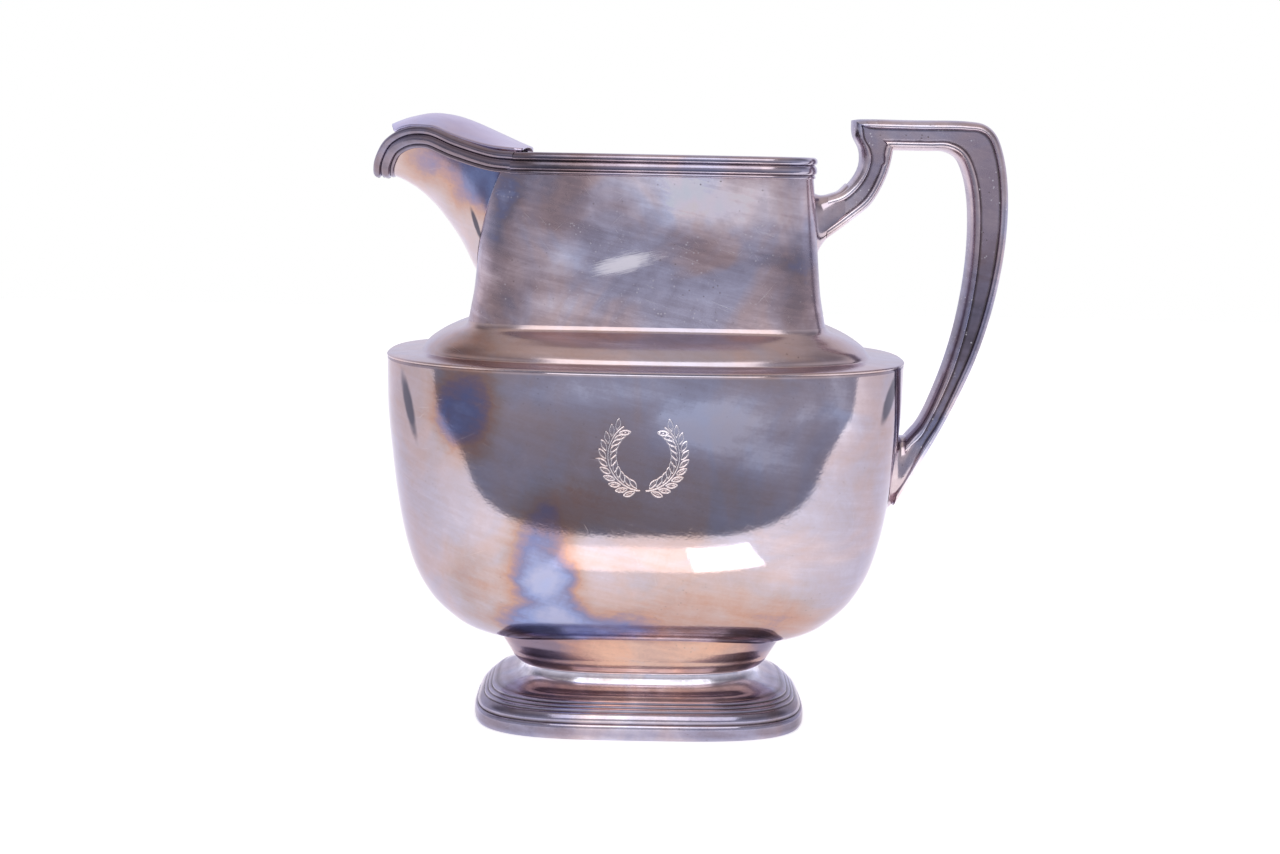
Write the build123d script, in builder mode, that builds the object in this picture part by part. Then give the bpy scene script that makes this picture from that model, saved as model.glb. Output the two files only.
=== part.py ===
from build123d import *
import math
import os

os.makedirs("parts", exist_ok=True)

# Silver-plated water pitcher, millimetres.
# Origin: middle of the foot on the table. +X is the handle side, -X the spout side, +Z is up.

# ---- driving dimensions ----
BODY_LENGTH = 177.0        # bowl at its shoulder edge, spout side to handle side
BODY_WIDTH = 126.8         # bowl at its shoulder edge, across
SHOULDER_LEVEL = 126.0     # top edge of the bowl
NECK_FOOT_LEVEL = 137.4    # where the neck stands on the shoulder
NECK_TOP_LEVEL = 194.0     # top edge of the neck sheet
RIM_LEVEL = 195.0          # top of the rim moulding
FOOT_LENGTH = 114.8
FOOT_WIDTH = 81.0
WAIST_LEVEL = 19.8         # narrowest place, between foot and collar
HANDLE_WIDTH = 15.0        # across, from side face to side face
BODY_GAUGE = 1.5           # metal thickness of bowl, shoulder, collar and foot
NECK_GAUGE = 1.4
SPOUT_GAUGE = 1.4
HANDLE_GAUGE = 1.3
GUARD_GAUGE = 1.2

HALF_BODY = BODY_LENGTH / 2
HALF_BODY_WIDTH = BODY_WIDTH / 2
HALF_FOOT = FOOT_LENGTH / 2
HALF_FOOT_WIDTH = FOOT_WIDTH / 2

OVAL = 2.57                # plan outline power of the bowl: 2 is an ellipse, more is squarer
FOOT_SQUARENESS = 3.5
NECK_SQUARENESS = 5.5


# ---- plan outlines ----
def superellipse(half_length, half_width, power, count=48):
    """Points round the closed outline |x / half_length|^power + |y / half_width|^power = 1."""
    outline = []
    for step in range(count):
        angle = math.tau * step / count
        along, across = math.cos(angle), math.sin(angle)
        reach = (abs(along) ** power + abs(across) ** power) ** (-1 / power)
        outline.append((half_length * reach * along, half_width * reach * across))
    return outline


def stack(rings, ruled=False):
    """Solid through level plan outlines, each (level, half length, half width, power)."""
    with BuildPart() as solid:
        for level, half_length, half_width, power in rings:
            with BuildSketch(Plane.XY.offset(level)):
                with BuildLine():
                    Spline(*superellipse(half_length, half_width, power), periodic=True)
                make_face()
        loft(ruled=ruled)
    return solid.part


def inset(rings, gauge):
    """The same rings moved inward by the metal's thickness, square to the end profile."""
    moved = []
    for index, (level, half_length, half_width, power) in enumerate(rings):
        below = rings[max(index - 1, 0)]
        above = rings[min(index + 1, len(rings) - 1)]
        rise, spread = above[0] - below[0], above[1] - below[1]
        length = math.hypot(rise, spread)
        sideways, lift = gauge * rise / length, gauge * spread / length
        moved.append((level + lift, half_length - sideways, half_width - sideways, power))
    return moved


def widen(rings, amount):
    """The same rings, wider all round by one amount."""
    return [(level, a + amount, b + amount, power) for level, a, b, power in rings]


# ---- bowl: a boat-bottomed oval with a nearly upright side ----
BOWL_RINGS = [
    (28.2, 34.0, 20.5, 3.0),
    (29.6, 47.0, 29.0, 3.0),
    (33.0, 59.8, 37.2, 3.0),
    (38.0, 67.3, 43.8, 2.9),
    (45.0, 74.0, 50.3, 2.75),
    (56.0, 79.7, 56.6, 2.65),
    (72.0, 83.8, 60.0, 2.6),
    (92.0, 86.6, 62.0, OVAL),
    (112.0, 88.3, 63.2, OVAL),
    (SHOULDER_LEVEL, HALF_BODY, HALF_BODY_WIDTH, OVAL),
]
BOWL_INSIDE = inset(BOWL_RINGS, BODY_GAUGE)
BOWL_MOUTH = (SHOULDER_LEVEL + 2, HALF_BODY - BODY_GAUGE, HALF_BODY_WIDTH - BODY_GAUGE, OVAL)

bowl_outside = stack(BOWL_RINGS)
bowl_inside = stack(BOWL_INSIDE[:-1] + [BOWL_MOUTH])

with BuildPart() as bowl:
    add(bowl_outside)
    add(bowl_inside, mode=Mode.SUBTRACT)

bowl.part.label = "bowl"
export_step(bowl.part, "parts/bowl.step")

# ---- neck: a tall rounded rectangle that draws in towards the rim ----
NECK_RINGS = [
    (NECK_FOOT_LEVEL, 60.4, 42.1, NECK_SQUARENESS),
    (143.0, 59.3, 41.5, NECK_SQUARENESS),
    (150.0, 58.1, 40.9, NECK_SQUARENESS),
    (162.0, 57.0, 40.4, NECK_SQUARENESS),
    (178.0, 55.7, 39.8, NECK_SQUARENESS),
    (NECK_TOP_LEVEL, 54.4, 39.2, NECK_SQUARENESS),
]
neck_outside = stack(NECK_RINGS)
neck_inside = stack(
    [(NECK_FOOT_LEVEL - 4, 59.2, 40.8, NECK_SQUARENESS)]
    + widen(NECK_RINGS[1:-1], -NECK_GAUGE)
    + [(NECK_TOP_LEVEL + 2, 54.2 - NECK_GAUGE, 39.1 - NECK_GAUGE, NECK_SQUARENESS)]
)

# ---- shoulder: a flat ledge, then a raised dome that carries the neck ----
LEDGE_INNER = (127.7, 76.2, 54.6, 2.75)
DOME_RINGS = [
    LEDGE_INNER,
    (129.6, 75.3, 53.9, 2.8),
    (131.8, 73.4, 52.3, 2.95),
    (133.9, 70.2, 49.7, 3.2),
    (135.6, 66.2, 46.7, 3.7),
    (136.7, 63.0, 44.3, 4.5),
    (NECK_FOOT_LEVEL, 61.2, 42.9, 5.2),
]
DOME_CAVITY = [
    (126.3, 74.9, 53.3, 2.8),
    (130.4, 72.0, 50.9, 2.95),
    (132.4, 69.0, 48.5, 3.2),
    (134.2, 65.2, 45.6, 3.7),
    (135.2, 62.0, 43.0, 4.5),
]
ledge_solid = stack(
    [
        (SHOULDER_LEVEL, HALF_BODY, HALF_BODY_WIDTH, OVAL),
        (SHOULDER_LEVEL + 0.7, HALF_BODY, HALF_BODY_WIDTH, OVAL),
        LEDGE_INNER,
    ],
    ruled=True,
)
ledge_cavity = stack(
    [
        (SHOULDER_LEVEL, HALF_BODY - BODY_GAUGE, HALF_BODY_WIDTH - BODY_GAUGE, OVAL),
        (126.3, 74.9, 53.3, 2.8),
    ],
    ruled=True,
)
dome_solid = stack(DOME_RINGS)
dome_cavity = stack(DOME_CAVITY)

with BuildPart() as shoulder:
    add(ledge_solid)
    add(dome_solid)
    add(ledge_cavity, mode=Mode.SUBTRACT)
    add(dome_cavity, mode=Mode.SUBTRACT)
    add(neck_inside, mode=Mode.SUBTRACT)

shoulder.part.label = "shoulder"
export_step(shoulder.part, "parts/shoulder.step")

# ---- spout: a beak of upright U sections that shrink towards the lip ----
SPOUT_SIDE_LEVEL = 206.0   # the U's sides stand straight above this level
SPOUT_CROWN_LEVEL = 212.0  # closes the U above the lip, where it is trimmed away
SPOUT_SQUARENESS = 2.3
# (distance out from the middle, level of the keel, half width)
SPOUT_STATIONS = [
    (44.0, 140.0, 37.2),
    (50.0, 144.0, 34.9),
    (55.0, 148.8, 32.7),
    (59.0, 155.4, 30.8),
    (63.0, 163.4, 28.7),
    (67.5, 170.2, 26.3),
    (73.0, 176.9, 23.2),
    (80.0, 182.7, 18.8),
    (87.0, 186.0, 13.4),
    (91.0, 186.7, 9.0),
    (93.4, 187.2, 4.0),
]


def beak(grow):
    """Spout solid, its walls moved outward by grow; when grow is negative it runs out past the lip."""
    with BuildPart() as solid:
        for out, keel, half_width in SPOUT_STATIONS:
            past_lip = abs(grow) if out == SPOUT_STATIONS[-1][0] else 0
            tip = out + past_lip
            width = max(half_width + grow, 2.0)
            depth = SPOUT_SIDE_LEVEL - keel + grow
            ring = superellipse(width, depth, SPOUT_SQUARENESS)
            lower = ring[len(ring) // 2:] + ring[:1]
            with BuildSketch(Plane.YZ.offset(-tip)):
                with BuildLine():
                    cup = Spline(*[(y, SPOUT_SIDE_LEVEL + z) for y, z in lower])
                    Polyline(cup @ 1, (width, SPOUT_CROWN_LEVEL), (-width, SPOUT_CROWN_LEVEL), cup @ 0)
                make_face()
        loft()
    return solid.part


LIP_CURVE = [
    (-40.0, 195.0),
    (-51.0, 195.7),
    (-62.7, 198.9),
    (-73.0, 202.6),
    (-81.3, 202.2),
    (-88.5, 198.4),
    (-92.6, 192.0),
    (-94.2, 186.4),
]
REACH = 60.0               # half width of the blocks that trim the spout, more than the spout's
SPOUT_FLOOR_LEVEL = 120.0  # below the spout's lowest point
BLOCK_BACK = -38.0         # behind the spout's root


def below_lip(drop):
    """Block under the lip's side curve, the curve moved square to itself by drop."""
    lowered = []
    for index, (x, z) in enumerate(LIP_CURVE):
        before = LIP_CURVE[max(index - 1, 0)]
        after = LIP_CURVE[min(index + 1, len(LIP_CURVE) - 1)]
        run, rise = after[0] - before[0], after[1] - before[1]
        length = math.hypot(run, rise)
        lowered.append((x - drop * rise / length, z + drop * run / length))
    with BuildPart() as block:
        with BuildSketch(Plane.XZ.offset(-REACH)):
            with BuildLine():
                edge = Spline(*lowered)
                front_corner = ((edge @ 1).X, SPOUT_FLOOR_LEVEL)
                back_corner = (BLOCK_BACK, SPOUT_FLOOR_LEVEL)
                back_top = (BLOCK_BACK, (edge @ 0).Y)
                Polyline(edge @ 1, front_corner, back_corner, back_top, edge @ 0)
            make_face()
        extrude(amount=2 * REACH)
    return block.part


spout_outside = beak(0)
spout_passage = beak(-SPOUT_GAUGE)
lip_block = below_lip(0)

with BuildPart() as spout:
    add(spout_outside)
    add(spout_passage, mode=Mode.SUBTRACT)
    add(lip_block, mode=Mode.INTERSECT)
    add(neck_outside, mode=Mode.SUBTRACT)

spout.part.label = "spout"
export_step(spout.part, "parts/spout.step")

with BuildPart() as neck:
    add(neck_outside)
    add(neck_inside, mode=Mode.SUBTRACT)
    add(spout_passage, mode=Mode.SUBTRACT)

neck.part.label = "neck"
export_step(neck.part, "parts/neck.step")

# ---- applied mouldings: one reeded strip round the rim, one along the spout's lip ----
# reeds as (depth where the reed starts, depth where it ends, how far it stands out)
REEDS = [
    (0.0, 2.6, 1.6),
    (2.6, 4.8, 0.8),
    (4.8, 7.2, 1.3),
]
RIM_HALF = 54.3            # neck outline at the rim
RIM_HALF_WIDTH = 39.2
NECK_DRAW_IN = 0.08        # how much the neck narrows per millimetre of height near the rim
MITRE = -44.0              # where the two strips meet, at the root of the spout


def reed_ring(start, end, proud):
    """Level ring round the neck for one reed."""
    rings = []
    for depth in (end, start):
        stand_out = NECK_DRAW_IN * depth + proud
        level = RIM_LEVEL - depth
        rings.append((level, RIM_HALF + stand_out, RIM_HALF_WIDTH + stand_out, NECK_SQUARENESS))
    return stack(rings, ruled=True)


rim_reeds = [reed_ring(*reed) for reed in REEDS]

with BuildPart() as rim_moulding:
    for reed in rim_reeds:
        add(reed)
    add(neck_outside, mode=Mode.SUBTRACT)
    add(neck_inside, mode=Mode.SUBTRACT)
    split(bisect_by=Plane.YZ.offset(MITRE), keep=Keep.TOP)

rim_moulding.part.label = "rim_moulding"
export_step(rim_moulding.part, "parts/rim_moulding.step")

LIP_STRIP_DEPTH = 7.2
LIP_STRIP_PROUD = 1.3

with BuildPart() as lip_moulding:
    add(beak(LIP_STRIP_PROUD))
    add(lip_block, mode=Mode.INTERSECT)
    add(below_lip(LIP_STRIP_DEPTH), mode=Mode.SUBTRACT)
    add(spout_outside, mode=Mode.SUBTRACT)
    add(neck_outside, mode=Mode.SUBTRACT)

lip_moulding.part.label = "lip_moulding"
export_step(lip_moulding.part, "parts/lip_moulding.step")

# ---- ice guard: an arched hood between the two edges of the spout ----
# (distance out, level of its edges, level of its crest, half width before trimming)
GUARD_STATIONS = [
    (43.0, 195.2, 197.4, 37.6),
    (50.0, 195.5, 200.4, 36.0),
    (60.0, 197.6, 204.6, 31.5),
    (70.0, 201.0, 207.0, 26.0),
    (79.0, 202.2, 206.6, 20.5),
    (86.5, 199.8, 203.0, 15.0),
]

with BuildPart() as guard_blank:
    for out, edge, crest, half_width in GUARD_STATIONS:
        low_edge, low_crest = edge - GUARD_GAUGE, crest - GUARD_GAUGE
        with BuildSketch(Plane.YZ.offset(-out)):
            with BuildLine():
                top = ThreePointArc((-half_width, edge), (0, crest), (half_width, edge))
                under = ThreePointArc((half_width, low_edge), (0, low_crest), (-half_width, low_edge))
                Line(top @ 1, under @ 0)
                Line(under @ 1, top @ 0)
            make_face()
    loft()

with BuildPart() as ice_guard:
    add(guard_blank.part)
    add(spout_passage, mode=Mode.INTERSECT)

ice_guard.part.label = "ice_guard"
export_step(ice_guard.part, "parts/ice_guard.step")

# ---- foot: a moulded rectangular base with a cove that rises to the waist ----
# (level, size as a share of the foot's outline)
FOOT_PROFILE = [
    (0.0, 0.988),
    (0.8, 1.0),
    (4.8, 1.0),
    (5.6, 0.985),
    (6.4, 0.982),
    (8.6, 0.960),
    (9.4, 0.945),
    (9.6, 0.930),
    (10.6, 0.918),
    (10.8, 0.900),
    (12.0, 0.888),
    (12.2, 0.868),
    (13.0, 0.850),
    (13.6, 0.830),
    (14.6, 0.800),
    (16.2, 0.755),
    (18.0, 0.715),
    (WAIST_LEVEL, 0.694),
]
WIRE_OUTER_SHARE = 0.965
WIRE_INNER_SHARE = 0.92
FOOT_HOLLOW = [
    (0.0, WIRE_OUTER_SHARE),
    (5.0, WIRE_OUTER_SHARE),
    (11.4, 0.840),
    (15.0, 0.745),
    (WAIST_LEVEL + 1, 0.667),
]
WIRE_HEIGHT = 2.4


def foot_rings(profile):
    """Plan outlines of the foot for a list of levels and shares."""
    return [(level, HALF_FOOT * share, HALF_FOOT_WIDTH * share, FOOT_SQUARENESS) for level, share in profile]


foot_hollow = stack(foot_rings(FOOT_HOLLOW), ruled=True)

with BuildPart() as foot_base:
    add(stack(foot_rings(FOOT_PROFILE), ruled=True))
    add(foot_hollow, mode=Mode.SUBTRACT)

foot_base.part.label = "foot_base"
export_step(foot_base.part, "parts/foot_base.step")

# wire soldered inside the lower edge, which the pitcher also stands on
with BuildPart() as foot_wire:
    with BuildSketch():
        for share, mode in ((WIRE_OUTER_SHARE, Mode.ADD), (WIRE_INNER_SHARE, Mode.SUBTRACT)):
            outline = superellipse(HALF_FOOT * share, HALF_FOOT_WIDTH * share, FOOT_SQUARENESS)
            with BuildLine():
                Spline(*outline, periodic=True)
            make_face(mode=mode)
    extrude(amount=WIRE_HEIGHT)

foot_wire.part.label = "foot_wire"
export_step(foot_wire.part, "parts/foot_wire.step")

# ---- collar: the swelling cup between the waist and the bowl ----
WAIST_SHARE = FOOT_PROFILE[-1][1]
WAIST = (WAIST_LEVEL, HALF_FOOT * WAIST_SHARE, HALF_FOOT_WIDTH * WAIST_SHARE, 3.4)
COLLAR_RINGS = [
    WAIST,
    (20.8, 42.4, 30.9, 3.3),
    (22.8, 44.4, 32.7, 3.3),
    (25.8, 46.3, 34.4, 3.2),
    (28.6, 48.0, 36.0, 3.2),
    (31.4, 50.0, 37.6, 3.1),
    (35.0, 53.0, 39.8, 3.0),
    (39.0, 57.0, 43.0, 3.0),
]
COLLAR_BORE = [(WAIST_LEVEL - 1, *WAIST[1:])] + COLLAR_RINGS[1:]

with BuildPart() as foot_collar:
    add(stack(COLLAR_RINGS))
    add(stack(widen(COLLAR_BORE, -BODY_GAUGE)), mode=Mode.SUBTRACT)
    add(bowl_outside, mode=Mode.SUBTRACT)

foot_collar.part.label = "foot_collar"
export_step(foot_collar.part, "parts/foot_collar.step")

# ---- handle: two struck halves joined on the middle plane, hollow inside ----
UPPER_END = 61.0           # plane where the handle meets its upper socket
LOWER_END_OUTER = (87.2, 75.3)
LOWER_END_INNER = (91.0, 99.8)
HALF_HANDLE = HANDLE_WIDTH / 2
PANEL_DEPTH = 0.6          # the side face lies this far below its raised border

# side outline, clockwise: throat, crown corner, back, grip, elbow
THROAT = [(UPPER_END, 182.2), (65.0, 183.7), (69.3, 187.8), (71.7, 192.6), (71.6, 198.0), (69.2, 202.6)]
CROWN_CORNER = [(68.9, 208.4)]
BACK = [
    (108.0, 208.4),
    (113.8, 207.4),
    (117.6, 204.0),
    (120.6, 196.6),
    (122.7, 184.0),
    (122.4, 166.0),
    (119.1, 145.4),
    (113.6, 126.5),
    (105.3, 107.5),
    (95.6, 89.4),
    LOWER_END_OUTER,
]
GRIP = [
    LOWER_END_INNER,
    (95.4, 105.4),
    (100.8, 117.9),
    (105.4, 132.6),
    (108.5, 148.0),
    (110.1, 165.0),
    (109.6, 181.0),
    (107.6, 190.4),
    (104.8, 195.8),
    (100.6, 197.9),
]
ELBOW = [(82.9, 198.0), (80.9, 189.0), (76.0, 179.8), (69.0, 173.6), (UPPER_END, 167.4)]


def drawn_in(runs, amount):
    """The outline's runs of points, each point moved inward square to its neighbours."""
    loop = [point for run in runs for point in run]
    moved = []
    for index, (x, z) in enumerate(loop):
        before = Vector(*loop[index - 1])
        after = Vector(*loop[(index + 1) % len(loop)])
        coming = (Vector(x, z) - before).normalized()
        going = (after - Vector(x, z)).normalized()
        shift = amount / (1 + coming.dot(going))
        moved.append((x + shift * (coming.Y + going.Y), z - shift * (coming.X + going.X)))
    placed = iter(moved)
    return [[next(placed) for _ in run] for run in runs]


def handle_face(amount):
    """The handle's side outline as a face, drawn in all round by amount."""
    throat, corner, back, grip, elbow = drawn_in([THROAT, CROWN_CORNER, BACK, GRIP, ELBOW], amount)
    with BuildSketch(Plane.XZ) as face:
        with BuildLine():
            Spline(*throat)
            Polyline(throat[-1], corner[0], back[0])
            Spline(*back)
            Line(back[-1], grip[0])
            Spline(*grip)
            Line(grip[-1], elbow[0])
            Spline(*elbow)
            Line(elbow[-1], throat[0])
        make_face()
    return face.sketch


handle_side = handle_face(0)
handle_inset = handle_face(HANDLE_GAUGE)
panel_floor = Location((0, PANEL_DEPTH - HALF_HANDLE, 0))

with BuildPart() as handle_near_half:
    extrude(handle_side, amount=HALF_HANDLE)
    extrude(handle_inset, amount=HALF_HANDLE - PANEL_DEPTH - HANDLE_GAUGE, mode=Mode.SUBTRACT)
    extrude(handle_inset.moved(panel_floor), amount=PANEL_DEPTH, mode=Mode.SUBTRACT)

with BuildPart() as handle_far_half:
    add(handle_near_half.part)
    mirror(about=Plane.XZ, mode=Mode.REPLACE)

handle_near_half.part.label = "handle_near_half"
export_step(handle_near_half.part, "parts/handle_near_half.step")
handle_far_half.part.label = "handle_far_half"
export_step(handle_far_half.part, "parts/handle_far_half.step")

# ---- sockets: flared plates that carry the handle on the neck and on the bowl ----
SOCKET_CORNER = 6.0


def socket(face_plane, height, width, depth, flare):
    """Plate that widens by flare as it runs depth into the vessel from the handle's end plane."""
    with BuildPart() as plate:
        for step, extra in ((0, 0), (depth, 2 * flare)):
            with BuildSketch(face_plane.offset(step)):
                RectangleRounded(width + extra, height + extra, SOCKET_CORNER)
        loft()
    return plate.part


upper_plane = Plane(origin=(UPPER_END, 0, 173.6), x_dir=(0, 1, 0), z_dir=(-1, 0, 0))
with BuildPart() as upper_socket:
    add(socket(upper_plane, height=18.4, width=16.0, depth=8.0, flare=5.0))
    add(neck_outside, mode=Mode.SUBTRACT)

upper_socket.part.label = "upper_socket"
export_step(upper_socket.part, "parts/upper_socket.step")

lower_rise = LOWER_END_INNER[1] - LOWER_END_OUTER[1]
lower_lean = LOWER_END_INNER[0] - LOWER_END_OUTER[0]
lower_middle = (
    (LOWER_END_INNER[0] + LOWER_END_OUTER[0]) / 2,
    0,
    (LOWER_END_INNER[1] + LOWER_END_OUTER[1]) / 2,
)
lower_plane = Plane(origin=lower_middle, x_dir=(0, 1, 0), z_dir=(-lower_rise, 0, lower_lean))
with BuildPart() as lower_socket:
    add(socket(lower_plane, height=26.8, width=16.4, depth=7.0, flare=4.0))
    add(bowl_outside, mode=Mode.SUBTRACT)

lower_socket.part.label = "lower_socket"
export_step(lower_socket.part, "parts/lower_socket.step")
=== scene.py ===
import math

import bpy
import numpy as np
from mathutils import Matrix, Vector


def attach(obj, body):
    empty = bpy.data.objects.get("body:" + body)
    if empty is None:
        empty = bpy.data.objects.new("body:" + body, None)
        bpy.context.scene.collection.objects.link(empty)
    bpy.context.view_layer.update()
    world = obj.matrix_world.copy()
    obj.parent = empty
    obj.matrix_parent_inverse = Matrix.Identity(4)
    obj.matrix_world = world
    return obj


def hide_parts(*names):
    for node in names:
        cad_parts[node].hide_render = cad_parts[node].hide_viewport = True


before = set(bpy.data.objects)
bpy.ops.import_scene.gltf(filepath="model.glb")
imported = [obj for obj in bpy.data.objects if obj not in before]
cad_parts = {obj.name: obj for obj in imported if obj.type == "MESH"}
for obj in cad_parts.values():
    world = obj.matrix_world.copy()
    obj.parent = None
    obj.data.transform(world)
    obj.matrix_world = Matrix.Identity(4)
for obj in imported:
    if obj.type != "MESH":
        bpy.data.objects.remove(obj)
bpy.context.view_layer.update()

# Shapes are worked out in millimetres, in the frame of the CAD model, and stored in metres.
MM = 0.001


# ---- curves ----
def smooth(knots, values, at):
    """Monotone cubic through the points (knots, values), read at each place in at."""
    x, y = np.asarray(knots, float), np.asarray(values, float)
    step = np.diff(x)
    slope = np.diff(y) / step
    tangent = np.zeros(len(x))
    for i in range(1, len(x) - 1):
        if slope[i - 1] * slope[i] > 0:
            w1, w2 = 2 * step[i] + step[i - 1], step[i] + 2 * step[i - 1]
            tangent[i] = (w1 + w2) / (w1 / slope[i - 1] + w2 / slope[i])
    tangent[0], tangent[-1] = slope[0], slope[-1]
    at = np.clip(np.asarray(at, float), x[0], x[-1])
    i = np.clip(np.searchsorted(x, at, side="right") - 1, 0, len(x) - 2)
    t = (at - x[i]) / step[i]
    h00, h10 = (1 + 2 * t) * (1 - t) ** 2, t * (1 - t) ** 2
    h01, h11 = t * t * (3 - 2 * t), t * t * (t - 1)
    return h00 * y[i] + h10 * step[i] * tangent[i] + h01 * y[i + 1] + h11 * step[i] * tangent[i + 1]


def flow(points, count):
    """Points spaced evenly along a smooth curve (Catmull-Rom, centripetal) through the given ones."""
    p = np.asarray(points, float)
    p = np.vstack([2 * p[0] - p[1], p, 2 * p[-1] - p[-2]])
    fine = []
    for i in range(1, len(p) - 2):
        a, b, c, d = p[i - 1:i + 3]
        t0 = 0.0
        t1 = t0 + np.linalg.norm(b - a) ** 0.5
        t2 = t1 + np.linalg.norm(c - b) ** 0.5
        t3 = t2 + np.linalg.norm(d - c) ** 0.5
        for t in np.linspace(t1, t2, 24, endpoint=False):
            a1 = (t1 - t) / (t1 - t0) * a + (t - t0) / (t1 - t0) * b
            a2 = (t2 - t) / (t2 - t1) * b + (t - t1) / (t2 - t1) * c
            a3 = (t3 - t) / (t3 - t2) * c + (t - t2) / (t3 - t2) * d
            b1 = (t2 - t) / (t2 - t0) * a1 + (t - t0) / (t2 - t0) * a2
            b2 = (t3 - t) / (t3 - t1) * a2 + (t - t1) / (t3 - t1) * a3
            fine.append((t2 - t) / (t2 - t1) * b1 + (t - t1) / (t2 - t1) * b2)
    fine.append(p[-2])
    fine = np.array(fine)
    run = np.concatenate([[0], np.cumsum(np.linalg.norm(np.diff(fine, axis=0), axis=1))])
    at = np.linspace(0, run[-1], count)
    return np.stack([np.interp(at, run, fine[:, k]) for k in range(fine.shape[1])], axis=1)


def outline(a, b, n, angle):
    """Superellipse point at a plan angle, for arrays of any matching shape."""
    c, s = np.cos(angle), np.sin(angle)
    reach = (np.abs(c) ** n + np.abs(s) ** n) ** (-1 / n)
    return a * reach * c, b * reach * s


class Plan:
    """A stack of level superellipses: (level, half length, half width, squareness)."""

    def __init__(self, rings):
        self.rings = np.array(rings, float)

    def size(self, level):
        z = self.rings[:, 0]
        return tuple(smooth(z, self.rings[:, k], level) for k in (1, 2, 3))

    def point(self, level, angle, grow=0.0):
        a, b, n = self.size(level)
        x, y = outline(a + grow, b + grow, n, angle)
        return np.stack(np.broadcast_arrays(x, y, level), axis=-1)

    def outside(self, x, y, z):
        """Above zero outside the stack, below zero inside."""
        a, b, n = self.size(z)
        return (np.abs(x) / a) ** n + (np.abs(y) / b) ** n - 1


# ---- meshes ----
def mesh_piece(name, verts, faces, node, smooth_angle=40):
    """A piece of the object that stands for one CAD node. verts are in millimetres."""
    data = bpy.data.meshes.new(name)
    data.from_pydata([tuple(v) for v in np.asarray(verts, float) * MM], [], faces)
    data.validate()
    for polygon in data.polygons:
        polygon.use_smooth = True
    piece = bpy.data.objects.new(name, data)
    bpy.context.scene.collection.objects.link(piece)
    data.set_sharp_from_angle(angle=math.radians(smooth_angle))
    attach(piece, "root")
    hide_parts(node)
    return piece


def mark(piece, name, values):
    """Stores a number for each of the first vertices, for the material to read; the rest keep 0."""
    stored = piece.data.attributes.new(name, "FLOAT", "POINT")
    share = np.zeros(len(piece.data.vertices), np.float32)
    values = np.asarray(values, np.float32).ravel()
    share[:len(values)] = values
    stored.data.foreach_set("value", share)


def crests(path):
    """How a section's outline, given as (distance along, distance out), bends.

    Above zero on its crests and below zero in its grooves.
    """
    run = np.diff(np.asarray(path, float), axis=0)
    turn = run[:-1, 1] * run[1:, 0] - run[:-1, 0] * run[1:, 1]
    turn = np.arctan2(turn, (run[:-1] * run[1:]).sum(axis=1))
    return np.concatenate([[0], np.clip(turn / math.radians(30), -1, 1), [0]])


def grid(points, wrap_rows=False, wrap_columns=False):
    """Vertices and quads of a grid of points, shape (rows, columns, 3)."""
    rows, columns = points.shape[:2]
    faces = []
    for r in range(rows if wrap_rows else rows - 1):
        for c in range(columns if wrap_columns else columns - 1):
            r1, c1 = (r + 1) % rows, (c + 1) % columns
            faces.append((r * columns + c, r * columns + c1, r1 * columns + c1, r1 * columns + c))
    return points.reshape(-1, 3), faces


def thicken(piece, gauge, offset=-1.0):
    """Gives a sheet its thickness."""
    solid = piece.modifiers.new("gauge", "SOLIDIFY")
    solid.thickness = gauge * MM
    solid.offset = offset
    solid.use_even_offset = True
    solid.use_quality_normals = True


ROUND = 320                # columns round the body


def around(count=ROUND):
    """Plan angles once round, starting on the handle side."""
    return np.linspace(0, 2 * math.pi, count, endpoint=False)


def capped(points):
    """A ring grid closed at both ends by a fan: the first and last rows shrink to their middles."""
    first, last = points[0].mean(axis=0), points[-1].mean(axis=0)
    verts, faces = grid(points, wrap_columns=True)
    rows, columns = points.shape[:2]
    start, end = len(verts), len(verts) + 1
    verts = np.vstack([verts, first, last])
    for c in range(columns):
        c1 = (c + 1) % columns
        faces.append((start, c1, c))
        faces.append((end, (rows - 1) * columns + c, (rows - 1) * columns + c1))
    return verts, faces


# ---- the pitcher's plans, as in the CAD model ----
BODY_GAUGE, NECK_GAUGE, SPOUT_GAUGE, GUARD_GAUGE = 1.5, 1.4, 1.4, 1.2
WAIST_LEVEL = 19.8         # where the collar stands on the foot
BOWL_FLOOR = 28.2
SHOULDER_LEVEL = 126.0     # top edge of the bowl
NECK_FOOT = 137.4          # where the neck stands on the shoulder
NECK_TOP = 194.0           # top edge of the neck sheet
RIM_LEVEL = 195.0          # top of the rim moulding
NECK_PLAN_TOP = 195.9      # highest level at which the neck's plan is read
COLLAR_PLAN_TOP = 38.9     # the same for the collar
SPOUT_ROOT = 44.0          # how far from the middle the spout starts
SPOUT_TIP = 93.85          # and where its sheet ends
RIM_END = 44.8             # the rim strip ends a little way under the lip strip
BOWL = Plan([
    (28.2, 34.0, 20.5, 3.0), (29.6, 47.0, 29.0, 3.0), (33.0, 59.8, 37.2, 3.0), (38.0, 67.3, 43.8, 2.9),
    (45.0, 74.0, 50.3, 2.75), (56.0, 79.7, 56.6, 2.65), (72.0, 83.8, 60.0, 2.6), (92.0, 86.6, 62.0, 2.57),
    (112.0, 88.3, 63.2, 2.57), (126.0, 88.5, 63.4, 2.57),
])
NECK = Plan([
    (137.4, 60.4, 42.1, 5.5), (143.0, 59.3, 41.5, 5.5), (150.0, 58.1, 40.9, 5.5), (162.0, 57.0, 40.4, 5.5),
    (178.0, 55.7, 39.8, 5.5), (194.0, 54.4, 39.2, 5.5), (196.0, 54.25, 39.1, 5.5),
])
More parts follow.
